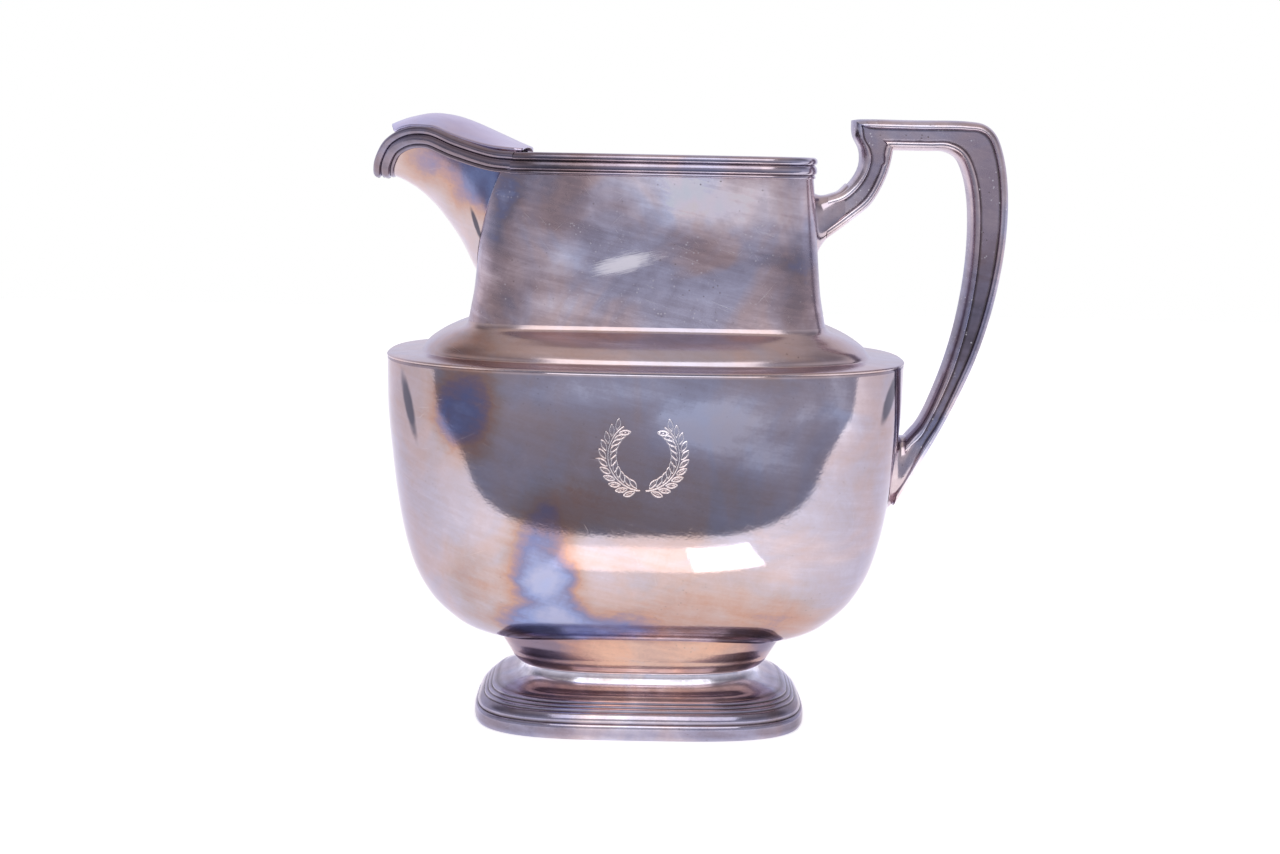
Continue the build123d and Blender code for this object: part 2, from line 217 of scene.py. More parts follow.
COLLAR = Plan([
    (19.8, 39.8, 28.1, 3.4), (20.8, 42.4, 30.9, 3.3), (22.8, 44.4, 32.7, 3.3), (25.8, 46.3, 34.4, 3.2),
    (28.6, 48.0, 36.0, 3.2), (31.4, 50.0, 37.6, 3.1), (35.0, 53.0, 39.8, 3.0), (39.0, 57.0, 43.0, 3.0),
])


# ---- bowl, with a wreath engraved on its front ----
WREATH_PLACE = (-0.5, 100.0, 11.4)       # middle across, middle level, radius
WREATH_CUT = 0.16                        # deepest cut
WREATH_LEVELS = (85, 115)                # the bowl's mesh is finer between these levels
WREATH_SPREAD = 0.17                     # and within this plan angle of the front
STEM_ENDS = (0.08, 2.55)                 # where a stem starts and ends, as turns from the bottom
STEM_REACH = 0.22                        # half width of the stem
LEAF_PAIRS = 11                          # on each side
FIRST_LEAF, LEAF_STEP = 0.27, 0.212      # turns round the wreath
LEAF_LEAN, LEAF_OUT = 0.62, 1.75         # how much a leaf leans off the stem, how far its middle is from it
LEAF_HALF_LENGTH, LEAF_HALF_WIDTH = 1.9, 0.72
def wreath_depth(x, z):
    """Depth of the engraving at a place on the bowl's front, in millimetres."""
    depth = np.zeros_like(x)
    cx, cz, radius = WREATH_PLACE
    dx, dz = x - cx, z - cz
    away = np.hypot(dx, dz)
    turn = np.arctan2(dx, -dz)                       # 0 at the bottom, grows to either side
    on_stem = (np.abs(turn) < STEM_ENDS[1]) * (np.abs(turn) > STEM_ENDS[0])
    stem = np.clip(1 - np.abs(away - radius) / STEM_REACH, 0, 1) * on_stem
    depth = np.maximum(depth, stem)
    for side in (-1, 1):
        for k in range(LEAF_PAIRS):
            middle = side * (FIRST_LEAF + LEAF_STEP * k)
            for lean, out in ((LEAF_LEAN, LEAF_OUT), (-LEAF_LEAN, -LEAF_OUT)):
                mx = cx + (radius + out) * math.sin(middle + side * 0.07)
                mz = cz - (radius + out) * math.cos(middle + side * 0.07)
                heading = middle + side * (math.pi / 2 - lean)
                ux, uz = math.sin(heading), -math.cos(heading)
                along, across = (x - mx) * ux + (z - mz) * uz, -(x - mx) * uz + (z - mz) * ux
                half = LEAF_HALF_WIDTH * np.clip(1 - (along / LEAF_HALF_LENGTH) ** 2, 0, 1)
                edge = np.clip(1 - np.abs(np.abs(across) - half) / 0.19, 0, 1) * (np.abs(along) < 1.95)
                vein = np.clip(1 - np.abs(across) / 0.13, 0, 1) * (np.abs(along) < 1.5) * 0.6
                depth = np.maximum(depth, np.maximum(edge, vein))
    return depth * WREATH_CUT




def make_bowl():
    angles = np.concatenate([
        np.linspace(-math.pi / 2 - WREATH_SPREAD, -math.pi / 2 + WREATH_SPREAD, 190, endpoint=False),
        np.linspace(-math.pi / 2 + WREATH_SPREAD, 3 * math.pi / 2 - WREATH_SPREAD, 340, endpoint=False),
    ])
    levels = np.concatenate([
        BOWL_FLOOR + 12.8 * np.linspace(0, 1, 40, endpoint=False) ** 1.6,
        np.linspace(41, WREATH_LEVELS[0], 58, endpoint=False),
        np.linspace(*WREATH_LEVELS, 200, endpoint=False),
        np.linspace(WREATH_LEVELS[1], 125.6, 14),
        [125.85, SHOULDER_LEVEL],
    ])
    z, t = np.meshgrid(levels, angles, indexing="ij")
    outer = BOWL.point(z, t)
    edge = np.clip((levels - 125.6) / 0.4, 0, 1)[:, None]
    outer[..., 0] *= 1 - 0.0022 * edge
    outer[..., 1] *= 1 - 0.0022 * edge
    front = outer[..., 1] < 0
    depth = np.where(front, wreath_depth(outer[..., 0], outer[..., 2]), 0)
    outer[..., 1] += depth
    inner_levels = np.concatenate([
        np.linspace(SHOULDER_LEVEL, 48, 40),
        29.7 + 18.3 * np.linspace(0.95, 0, 20) ** 1.5,
    ])
    zi, ti = np.meshgrid(inner_levels, angles, indexing="ij")
    low = np.clip((50 - zi) / 20, 0, 1)
    inner = BOWL.point(np.maximum(zi - 1.2 * low, BOWL_FLOOR), ti, -BODY_GAUGE)
    inner[..., 2] = zi
    verts, faces = capped(np.concatenate([outer, inner]))
    piece = mesh_piece("bowl_shell", verts, faces, "bowl")
    mark(piece, "cut", depth / WREATH_CUT)
    return piece


# ---- shoulder: ledge, dome and the small fillet at the neck ----
SHOULDER_PROFILE = [
    (126.0, 88.5, 63.4, 2.57), (126.35, 88.62, 63.5, 2.57), (126.75, 88.35, 63.2, 2.57),
    (126.95, 87.3, 62.4, 2.57), (127.35, 82.5, 58.9, 2.65), (127.65, 78.0, 55.8, 2.72),
    (128.0, 76.6, 54.8, 2.75), (129.2, 75.9, 54.3, 2.8),
    (130.8, 74.7, 53.2, 2.88), (132.4, 72.6, 51.6, 3.0), (134.0, 69.9, 49.4, 3.2), (135.4, 66.8, 47.1, 3.6),
    (136.4, 64.0, 45.0, 4.2), (137.0, 62.2, 43.6, 4.8), (137.5, 61.2, 42.8, 5.2), (138.3, 60.6, 42.3, 5.4),
    (139.2, 60.25, 42.05, 5.5),
]
SHOULDER_INSIDE = [
    (139.2, 58.9, 40.7, 5.5), (135.6, 59.0, 40.9, 5.4), (134.6, 63.0, 44.0, 4.4), (132.6, 69.0, 48.6, 3.2),
    (130.4, 72.2, 51.0, 2.95), (126.4, 75.0, 53.4, 2.8), (126.0, 87.0, 61.9, 2.57),
]


def make_shoulder():
    angles = around(400)
    profile = flow([row[:3] for row in SHOULDER_PROFILE], 90)
    power = smooth([row[0] for row in SHOULDER_PROFILE], [row[3] for row in SHOULDER_PROFILE], profile[:, 0])
    rows = []
    for (level, a, b), n in zip(profile, power):
        x, y = outline(a, b, n, angles)
        rows.append(np.stack([x, y, np.full_like(x, level)], axis=1))
    for level, a, b, n in SHOULDER_INSIDE:
        x, y = outline(a, b, n, angles)
        rows.append(np.stack([x, y, np.full_like(x, level)], axis=1))
    verts, faces = grid(np.array(rows), wrap_rows=True, wrap_columns=True)
    return mesh_piece("shoulder_plate", verts, faces, "shoulder", 30)


# ---- spout ----
SIDE_LEVEL = 206.0
SPOUT_POWER = 2.3
SPOUT_STATIONS = np.array([
    (44.0, 140.0, 37.2), (50.0, 144.0, 34.9), (55.0, 148.8, 32.7), (59.0, 155.4, 30.8), (63.0, 163.4, 28.7),
    (67.5, 170.2, 26.3), (73.0, 176.9, 23.2), (80.0, 182.7, 18.8), (87.0, 186.0, 13.4), (91.0, 186.7, 9.0),
    (93.4, 187.0, 4.6), (94.4, 187.1, 2.2),
])
LIP_POINTS = [(-44.0, 195.1), (-51.0, 195.7), (-62.7, 198.9), (-73.0, 202.6), (-81.3, 202.2), (-88.5, 198.4),
              (-92.6, 192.0), (-93.9, 187.2)]


def keel_and_width(x):
    out = -np.asarray(x, float)
    return (smooth(SPOUT_STATIONS[:, 0], SPOUT_STATIONS[:, 1], out),
            smooth(SPOUT_STATIONS[:, 0], SPOUT_STATIONS[:, 2], out))


def spout_side(x, z):
    """Half width of the spout at a place in its side view; zero at the keel and below it."""
    keel, width = keel_and_width(x)
    fall = np.clip((SIDE_LEVEL - z) / (SIDE_LEVEL - keel), 0, 1)
    return width * (1 - fall ** SPOUT_POWER) ** (1 / SPOUT_POWER)


def spout_outside(x, y, z):
    keel, width = keel_and_width(x)
    fall = np.abs(SIDE_LEVEL - z) / (SIDE_LEVEL - keel)
    return (np.abs(y) / width) ** SPOUT_POWER + fall ** SPOUT_POWER - 1


def spout_normal(x, y, z):
    """Outward direction of the spout's surface."""
    step = 0.05
    g = np.stack([
        spout_outside(x + step, y, z) - spout_outside(x - step, y, z),
        spout_outside(x, y + step, z) - spout_outside(x, y - step, z),
        spout_outside(x, y, z + step) - spout_outside(x, y, z - step),
    ], axis=-1)
    return g / np.maximum(np.linalg.norm(g, axis=-1, keepdims=True), 1e-9)


LIP = flow(LIP_POINTS, 400)


def make_spout():
    lines, steps = 61, 110
    rows = []
    lip_x, lip_z = LIP[::-1, 0], LIP[::-1, 1]

    def on_line(x, share):
        keel, width = keel_and_width(x)
        top = np.interp(x, lip_x, lip_z)
        fall = np.clip((SIDE_LEVEL - top) / (SIDE_LEVEL - keel), 0, 1)
        start = np.arctan2(fall, (1 - fall ** SPOUT_POWER) ** (1 / SPOUT_POWER))
        turn = start + share * (math.pi / 2 - start)
        y, down = outline(width, SIDE_LEVEL - keel, SPOUT_POWER, turn)
        return np.stack([x, y, SIDE_LEVEL - down], axis=-1)

    for line in range(lines):
        share = line / (lines - 1)
        tries = np.linspace(-SPOUT_ROOT, -60.0, 400)
        p = on_line(tries, share)
        outside = NECK.outside(p[:, 0], p[:, 1], np.minimum(p[:, 2], NECK_PLAN_TOP)) > 0
        root = tries[np.argmax(outside)] if outside.any() else -58.0
        root += 0.15
        s = np.linspace(0, 1, steps)
        s = 1 - (1 - s) ** 1.5
        rows.append(on_line(root + s * (-SPOUT_TIP - root), share))
    near = np.array(rows)
    near[..., 1] *= -1
    far = near[:-1][::-1].copy()
    far[..., 1] *= -1
    points = np.concatenate([near, far])
    verts, faces = grid(points)
    piece = mesh_piece("spout_sheet", verts, faces, "spout", 50)
    thicken(piece, SPOUT_GAUGE, -1.0)
    return piece


# ---- neck, open where the spout stands ----
def make_neck():
    angles = around(520)
    top = np.full(len(angles), NECK_TOP)
    for i, angle in enumerate(angles):
        z = np.linspace(138, NECK_TOP, 400)
        p = NECK.point(z, angle)
        within = (p[:, 0] < -43.5) & (spout_outside(p[:, 0], p[:, 1], p[:, 2]) < -0.02)
        if within.any():
            top[i] = z[np.argmax(within)]
    rows = 120
    share = np.linspace(0, 1, rows)[:, None]
    z = NECK_FOOT + share * (top[None, :] - NECK_FOOT)
    t = np.broadcast_to(angles, z.shape)
    verts, faces = grid(NECK.point(z, t), wrap_columns=True)
    piece = mesh_piece("neck_sheet", verts, faces, "neck", 60)
    thicken(piece, NECK_GAUGE, -1.0)
    return piece


# ---- reeded mouldings of rim and lip ----
# (where the reed starts below the edge, where it ends, how far it stands out,
#  how far out the bottom of the groove after it lies)
REEDS = [(0.0, 2.55, 1.55, 0.40), (2.65, 5.75, 1.25, 0.25), (5.9, 7.1, 0.62, 0.0)]


def reed_section():
    """Section of the strip: (distance down from the edge, distance out from the sheet)."""
    path = [(1.7, -1.5), (0.8, -1.5), (0.25, -1.2), (0.0, -0.6), (0.0, 0.1)]
    floor = 0.1
    for start, end, proud, groove in REEDS:
        for k in range(13):
            turn = math.pi * k / 12
            level = start + (end - start) * (1 - math.cos(turn)) / 2
            base = floor + (groove - floor) * k / 12
            path.append((level, base + (proud - base) * math.sin(turn) ** 0.8))
        floor = groove
    path += [(7.15, 0.0), (7.15, -0.6)]
    return np.array(path)


def make_rim():
    section = reed_section()
    tries = np.linspace(-math.pi, 0, 4000)
    along = NECK.point(np.full_like(tries, NECK_TOP), tries)[:, 0]
    start = tries[np.argmin(np.abs(along + RIM_END))]
    angles = np.linspace(start, -start, 520)
    columns = []
    for down, out in section:
        z = np.full_like(angles, RIM_LEVEL - down)
        p = NECK.point(np.minimum(z, NECK_PLAN_TOP), angles)
        a, b, n = NECK.size(z)
        g = np.stack([
            np.sign(p[:, 0]) * np.abs(p[:, 0] / a) ** (n - 1) / a,
            np.sign(p[:, 1]) * np.abs(p[:, 1] / b) ** (n - 1) / b,
            np.zeros_like(z),
        ], axis=1)
        g /= np.linalg.norm(g, axis=1, keepdims=True)
        q = p + g * out
        q[:, 2] = z
        columns.append(q)
    verts, faces = grid(np.array(columns), wrap_rows=True)
    piece = mesh_piece("rim_reeds", verts, faces, "rim_moulding", 50)
    mark(piece, "crest", np.repeat(crests(section), len(angles)))
    return piece


def make_lip():
    section = reed_section()
    direction = np.gradient(LIP, axis=0)
    direction /= np.linalg.norm(direction, axis=1, keepdims=True)
    inward = np.stack([-direction[:, 1], direction[:, 0]], axis=1)
    run = np.linspace(0, 1, len(LIP))
    shares = 1 - (1 - np.linspace(0, 1, 200)) ** 1.25
    halves = []
    for down, out in section:
        path = LIP + inward * down
        keel, _ = keel_and_width(path[:, 0])
        under = path[:, 1] < keel + 0.02
        under[:200] = False
        end = run[np.argmax(under)] if under.any() else 1.0
        x = np.interp(shares * end, run, path[:, 0])
        z = np.interp(shares * end, run, path[:, 1])
        y = -spout_side(x, z)
        y[-1] = 0
        p = np.stack([x, y, z], axis=1)
        q = p + spout_normal(x, y - 1e-3, z) * out
        q[-1, 1] = 0
        halves.append(q)
    near = np.array(halves)
    far = near[:, :-1][:, ::-1].copy()
    far[..., 1] *= -1
    both = np.concatenate([near, far], axis=1)
    verts, faces = grid(both, wrap_rows=True)
    piece = mesh_piece("lip_reeds", verts, faces, "lip_moulding", 50)
    mark(piece, "crest", np.repeat(crests(section), both.shape[1]))
    return piece


# ---- ice guard ----
# (distance out from the middle, level of its edges, level of its crest)
GUARD_STATIONS = np.array([
    (41.5, 195.0, 195.9), (44.0, 195.1, 196.9), (50.0, 195.5, 199.6), (60.0, 197.6, 203.9),
    (66.0, 199.6, 205.8), (73.0, 202.0, 206.6), (79.0, 202.2, 205.6), (82.5, 201.6, 204.2),
    (85.0, 200.4, 202.6),
])


def make_guard():
    out = np.linspace(41.5, 85.0, 70)
    edge = smooth(GUARD_STATIONS[:, 0], GUARD_STATIONS[:, 1], out)
    crest = np.interp(out, GUARD_STATIONS[:, 0], GUARD_STATIONS[:, 2])
    crest = np.convolve(np.pad(crest, 4, mode="reflect", reflect_type="odd"), np.ones(9) / 9, mode="valid")
    half = spout_side(-np.maximum(out, SPOUT_ROOT), edge) - SPOUT_GAUGE + 0.3
    half = np.where(out < SPOUT_ROOT, half + (out - SPOUT_ROOT) * 0.2, half)
    rows = []
    for x, low, high, w in zip(out, edge, crest, half):
        rise = high - low
        radius = (w * w + rise * rise) / (2 * rise)
        span = math.asin(min(w / radius, 1.0))
        turn = np.linspace(-span, span, 61)
        bow = 2.2 * (1 - (turn / span) ** 2)
        place = -x - bow * np.clip((x - 79) / 6, 0, 1)
        rows.append(np.stack([place, radius * np.sin(turn), high - radius * (1 - np.cos(turn))], axis=1))
    verts, faces = grid(np.array(rows))
    piece = mesh_piece("guard_hood", verts, faces, "ice_guard", 60)
    thicken(piece, GUARD_GAUGE, 1.0)
    return piece


# ---- foot ----
FOOT_HALF, FOOT_HALF_WIDTH = 57.4, 40.5
FOOT_SQUARENESS = 3.5
# (level, share of the foot's half length and half width)
FOOT_PATH = [
    (0.0, 0.984), (0.25, 0.992), (0.9, 0.998), (2.0, 1.0), (3.6, 1.0), (4.6, 0.998), (5.1, 0.993),
    (5.35, 0.986), (5.45, 0.980), (5.75, 0.980), (6.3, 0.982), (7.0, 0.979), (7.8, 0.971), (8.5, 0.960),
    (8.9, 0.950), (9.05, 0.944), (9.2, 0.943), (9.7, 0.941), (10.1, 0.933), (10.25, 0.925), (10.35, 0.922),
    (10.8, 0.920), (11.2, 0.911), (11.35, 0.902), (11.45, 0.899), (11.95, 0.897), (12.4, 0.886),
    (12.6, 0.872), (12.7, 0.866), (13.1, 0.852), (13.5, 0.836), (13.9, 0.808), (14.5, 0.778), (15.4, 0.746),
    (16.5, 0.722), (17.7, 0.705), (18.8, 0.697), (19.8, 0.694),
]
FOOT_INSIDE = [(19.8, 0.668), (15.4, 0.71), (13.4, 0.78), (11.4, 0.84), (5.0, 0.965), (0.0, 0.965)]
WIRE_PATH = [(0.3, 0.965), (0.0, 0.955), (0.0, 0.93), (0.5, 0.92), (2.1, 0.92), (2.4, 0.93), (2.4, 0.965)]


def make_foot():
    angles = around(400)
    rows = []
    for level, share in FOOT_PATH + FOOT_INSIDE:
        x, y = outline(FOOT_HALF * share, FOOT_HALF_WIDTH * share, FOOT_SQUARENESS, angles)
        rows.append(np.stack([x, y, np.full_like(x, level)], axis=1))
    verts, faces = grid(np.array(rows), wrap_rows=True, wrap_columns=True)
    base = mesh_piece("foot_mould", verts, faces, "foot_base", 28)
    section = [(level, FOOT_HALF * share) for level, share in FOOT_PATH]
    mark(base, "crest", np.repeat(crests(section), len(angles)))
    rows = []
    for level, share in WIRE_PATH:
        x, y = outline(FOOT_HALF * share, FOOT_HALF_WIDTH * share, FOOT_SQUARENESS, angles)
        rows.append(np.stack([x, y, np.full_like(x, level)], axis=1))
    verts, faces = grid(np.array(rows), wrap_rows=True, wrap_columns=True)
    wire = mesh_piece("foot_edge_wire", verts, faces, "foot_wire", 50)
    return base, wire


def make_collar():
    angles = around(400)
    tops = []
    for angle in angles:
        z = np.linspace(26, COLLAR_PLAN_TOP, 260)
        p = COLLAR.point(z, angle)
        inside = BOWL.outside(p[:, 0], p[:, 1], z) < 0
        tops.append(z[np.argmax(inside)] if inside.any() else COLLAR_PLAN_TOP)
    tops = np.array(tops) + 0.15
    share = np.concatenate([np.linspace(0, 0.12, 16, endpoint=False), np.linspace(0.12, 1, 60)])[:, None]
    z = WAIST_LEVEL + share * (tops[None, :] - WAIST_LEVEL)
    t = np.broadcast_to(angles, z.shape)
    verts, faces = grid(COLLAR.point(z, t), wrap_columns=True)
    piece = mesh_piece("collar_cup", verts, faces, "foot_collar", 60)
    thicken(piece, BODY_GAUGE, -1.0)
    return piece


# ---- handle: two struck halves with a raised border ----
# The outline's two sides, from the neck round to the bowl; a run ends where the outline has a corner.
HANDLE_OUTER = [
    [(60.9, 182.2), (65.0, 183.7), (69.3, 187.8), (71.7, 192.6), (71.6, 198.0), (69.4, 202.4),
     (68.9, 205.0), (68.9, 207.9)],
    [(68.9, 207.9), (71.0, 208.2), (90.0, 208.25), (108.0, 208.2), (113.8, 207.2), (117.6, 204.0),
     (120.6, 196.6), (122.6, 184.0), (122.35, 166.0), (119.1, 145.4), (113.6, 126.5), (105.3, 107.5),
     (95.6, 89.4), (87.2, 75.3)],
]
HANDLE_INNER = [
    [(60.9, 167.4), (69.0, 173.6), (76.0, 179.8), (80.6, 188.4), (82.1, 193.6), (82.9, 198.0)],
    [(82.9, 198.0), (87.5, 198.0), (95.0, 198.0), (100.6, 197.9), (104.8, 195.8), (107.6, 190.4),
     (109.6, 181.0), (110.1, 165.0), (108.5, 148.0), (105.4, 132.6), (100.8, 117.9), (95.4, 105.4),
     (91.0, 99.8)],
]
# places on the two sides that face each other
HANDLE_PAIRS = [
    ((60.9, 182.2), (60.9, 167.4)), ((65.0, 183.7), (69.0, 173.6)), ((69.3, 187.8), (76.0, 179.8)),
    ((71.7, 192.6), (80.6, 188.4)), ((68.9, 207.9), (82.9, 198.0)), ((90.0, 208.25), (95.0, 198.0)),
    ((108.0, 208.2), (100.6, 197.9)), ((117.6, 204.0), (104.8, 195.8)), ((120.6, 196.6), (107.6, 190.4)),
    ((122.6, 184.0), (109.6, 181.0)), ((122.35, 166.0), (110.1, 165.0)), ((119.1, 145.4), (108.5, 148.0)),
    ((113.6, 126.5), (105.4, 132.6)), ((105.3, 107.5), (100.8, 117.9)), ((95.6, 89.4), (95.4, 105.4)),
    ((87.2, 75.3), (91.0, 99.8)),
]
# rounded edge and raised bead of the border: (distance in from the outline, out from the middle plane)
HANDLE_BORDER = [
    (0.0, 0.0), (0.0, 2.6), (0.12, 4.2), (0.40, 5.5), (0.78, 6.4), (1.2, 6.98), (1.65, 7.3), (2.1, 7.46),
    (2.5, 7.45), (2.8, 7.25), (3.0, 6.9), (3.2, 6.6), (3.5, 6.5), (4.0, 6.5),
]


def rail(runs, places):
    """One side of the handle as spread points, as many between two places as on the other side."""
    fine = np.vstack([flow(run, 900) for run in runs])
    ends = [int(np.argmin(np.linalg.norm(fine - place, axis=1))) for place in places]
    points = []
    for first, last, pair, following in zip(ends, ends[1:], HANDLE_PAIRS, HANDLE_PAIRS[1:]):
        longest = max(math.dist(pair[0], following[0]), math.dist(pair[1], following[1]))
        count = max(int(longest / 0.9), 4)
        part = fine[first:last + 1]
        run = np.concatenate([[0], np.cumsum(np.linalg.norm(np.diff(part, axis=0), axis=1))])
        at = np.linspace(0, run[-1], count, endpoint=False)
        points.append(np.stack([np.interp(at, run, part[:, 0]), np.interp(at, run, part[:, 1])], axis=1))
    points.append(fine[ends[-1]][None])
    return np.vstack(points)


def stretch(side, across):
    """How much longer than square a step across the handle is, because the side runs at a slant to it."""
    run = np.gradient(side, axis=0)
    run /= np.linalg.norm(run, axis=1, keepdims=True)
    square = np.abs(run[:, 0] * across[:, 1] - run[:, 1] * across[:, 0])
    return 1 / np.clip(square, 0.55, 1)


def make_handle():
    outer = rail(HANDLE_OUTER, [pair[0] for pair in HANDLE_PAIRS])
    inner = rail(HANDLE_INNER, [pair[1] for pair in HANDLE_PAIRS])
    across = inner - outer
    width = np.linalg.norm(across, axis=1)
    across /= width[:, None]
    depth = HANDLE_BORDER[-1][0]
    from_outer, from_inner = stretch(outer, across), stretch(inner, across)
    fit = np.minimum(1, 0.47 * width / (depth * np.maximum(from_outer, from_inner)))
    halves = []
    for side, name, node in ((-1, "handle_near", "handle_near_half"), (1, "handle_far", "handle_far_half")):
        columns = []
        for inset, out in HANDLE_BORDER:
            p = outer + across * (inset * from_outer * fit)[:, None]
            columns.append(np.stack([p[:, 0], np.full(len(p), side * out), p[:, 1]], axis=1))
        for inset, out in HANDLE_BORDER[::-1]:
            p = inner - across * (inset * from_inner * fit)[:, None]
            columns.append(np.stack([p[:, 0], np.full(len(p), side * out), p[:, 1]], axis=1))
        verts, faces = capped(np.stack(columns, axis=1))
        half = mesh_piece(name, verts, faces, node, 35)
        bend = crests(HANDLE_BORDER)
        mark(half, "crest", np.tile(np.concatenate([bend, bend[::-1]]), len(outer)))
        halves.append(half)
    return halves


def surface_reach(plan, top, z, y):
    """How far along +X the surface of a plan stack is, at a level and a distance across."""
    a, b, n = plan.size(np.minimum(z, top))
    return a * np.clip(1 - (np.abs(y) / b) ** n, 0, 1) ** (1 / n)


def make_socket(name, node, stations, plan, top):
    """Flared end piece of the handle. stations, from inside the handle to the wall of the vessel:
    (distance off the wall, lowest level, highest level, half width, squareness)."""
    turn = around(140)
    path = flow([row[:4] for row in stations], 40)
    places = np.linspace(0, len(stations) - 1, 40)
    squareness = smooth(range(len(stations)), [row[4] for row in stations], places)
    rows = []
    for (off, low, high, half), n in zip(path, squareness):
        y, z = outline(half, (high - low) / 2, n, turn)
        z += (high + low) / 2
        rows.append(np.stack([surface_reach(plan, top, z, y) + off, y, z], axis=1))
    verts, faces = capped(np.array(rows))
    return mesh_piece(name, verts, faces, node, 50)


def make_sockets():
    upper = make_socket("socket_upper", "upper_socket", [
        (12.4, 175.6, 186.4, 6.2, 4.5), (9.6, 172.2, 183.9, 6.9, 4.5), (7.2, 170.0, 183.0, 7.5, 4.2),
        (5.0, 167.9, 182.4, 7.75, 4.0), (3.2, 165.8, 182.3, 8.1, 3.6), (1.8, 163.6, 182.7, 8.8, 3.2),
        (0.8, 161.4, 183.3, 9.6, 2.9), (0.1, 159.6, 183.8, 10.3, 2.8), (-0.6, 159.4, 184.0, 10.4, 2.8),
    ], NECK, NECK_PLAN_TOP)
    lower = make_socket("socket_lower", "lower_socket", [
        (9.0, 90.0, 106.0, 6.0, 4.0), (6.4, 84.0, 102.8, 7.0, 4.0), (4.4, 79.4, 100.4, 7.6, 3.8),
        (3.0, 76.4, 99.7, 7.8, 3.4), (1.8, 74.7, 99.7, 8.2, 3.0), (0.8, 73.6, 100.3, 9.0, 2.6),
        (0.1, 72.8, 100.9, 9.8, 2.4), (-0.6, 72.6, 101.1, 9.9, 2.4),
    ], BOWL, SHOULDER_LEVEL)
    return upper, lower


foot, wire = make_foot()
near_half, far_half = make_handle()
upper, lower = make_sockets()
pieces = [
    (make_bowl(), "bowl"), (make_shoulder(), "shoulder"), (make_neck(), "neck"), (make_spout(), "spout"),
    (make_rim(), "rim_moulding"), (make_lip(), "lip_moulding"), (make_guard(), "ice_guard"),
    (foot, "foot_base"), (wire, "foot_wire"), (make_collar(), "foot_collar"),
    (near_half, "handle_near_half"), (far_half, "handle_far_half"),
    (upper, "upper_socket"), (lower, "lower_socket"),
]


# ---- materials ----
class Shade:
    """Small helper that builds a node tree one step at a time; every step returns an output socket."""

    def __init__(self, tree):
        self.tree = tree

    def add(self, kind, **settings):
        node = self.tree.nodes.new(kind)
        for key, value in settings.items():
            setattr(node, key, value)
        return node

    def put(self, socket, value):
        if isinstance(value, bpy.types.NodeSocket):
            self.tree.links.new(value, socket)
        else:
            socket.default_value = value

    def math(self, operation, a, b=0.0):
        node = self.add("ShaderNodeMath", operation=operation)
        self.put(node.inputs[0], a)
        self.put(node.inputs[1], b)
        return node.outputs[0]

    def total(self, *terms):
        result = terms[0]
        for term in terms[1:]:
            result = self.math("ADD", result, term)
        return result

    def scaled(self, vector, factors, turn=(0, 0, 0)):
        """Turns a vector, then stretches it."""
        node = self.add("ShaderNodeMapping", vector_type="TEXTURE")
        self.put(node.inputs["Vector"], vector)
        node.inputs["Scale"].default_value = [1 / factor for factor in factors]
        node.inputs["Rotation"].default_value = turn
        return node.outputs[0]

    def noise(self, vector, scale, detail=3.0, distortion=0.0, roughness=0.55, shift=(0, 0, 0)):
        place = self.add("ShaderNodeMapping")
        self.put(place.inputs["Vector"], vector)
        place.inputs["Location"].default_value = shift
        node = self.add("ShaderNodeTexNoise")
        self.put(node.inputs["Vector"], place.outputs[0])
        node.inputs["Scale"].default_value = scale
        node.inputs["Detail"].default_value = detail
        node.inputs["Roughness"].default_value = roughness
        node.inputs["Distortion"].default_value = distortion
        return node.outputs[0]

    def step(self, value, low, high, to_low=0.0, to_high=1.0):
        node = self.add("ShaderNodeMapRange", interpolation_type="SMOOTHSTEP")
        self.put(node.inputs[0], value)
        for index, number in enumerate((low, high, to_low, to_high), 1):
            node.inputs[index].default_value = number
        return node.outputs[0]

    def ramp(self, value, stops):
        node = self.add("ShaderNodeValToRGB")
        elements = node.color_ramp.elements
        elements[0].position, elements[0].color = stops[0][0], (*stops[0][1], 1)
        elements[1].position, elements[1].color = stops[-1][0], (*stops[-1][1], 1)
        for place, colour in stops[1:-1]:
            elements.new(place).color = (*colour, 1)
        self.put(node.inputs[0], value)
        return node.outputs[0]

    def mix(self, share, first, second, blend="MIX"):
        node = self.add("ShaderNodeMix", data_type="RGBA", blend_type=blend)
        self.put(node.inputs[0], share)
        for socket, value in ((node.inputs[6], first), (node.inputs[7], second)):
            self.put(socket, value if isinstance(value, bpy.types.NodeSocket) else (*value, 1))
        return node.outputs[2]

    def near(self, position, place, reach, ragged=0.0, rough_by=None, tilt=0.0):
        """1 at a place on the object (metres), falling to 0 at its reach; the reach differs by axis.

        tilt turns the spot about the Y axis.
        """
        away = self.add("ShaderNodeVectorMath", operation="SUBTRACT")
        self.put(away.inputs[0], position)
        away.inputs[1].default_value = place
        unit = self.scaled(away.outputs[0], [1 / length for length in reach], (0, tilt, 0))
        length = self.add("ShaderNodeVectorMath", operation="LENGTH")
        self.put(length.inputs[0], unit)
        distance = length.outputs["Value"]
        if rough_by is not None:
            distance = self.math("ADD", distance, self.math("MULTIPLY", rough_by, ragged))
        return self.step(distance, 0.1, 1.0, 1.0, 0.0)


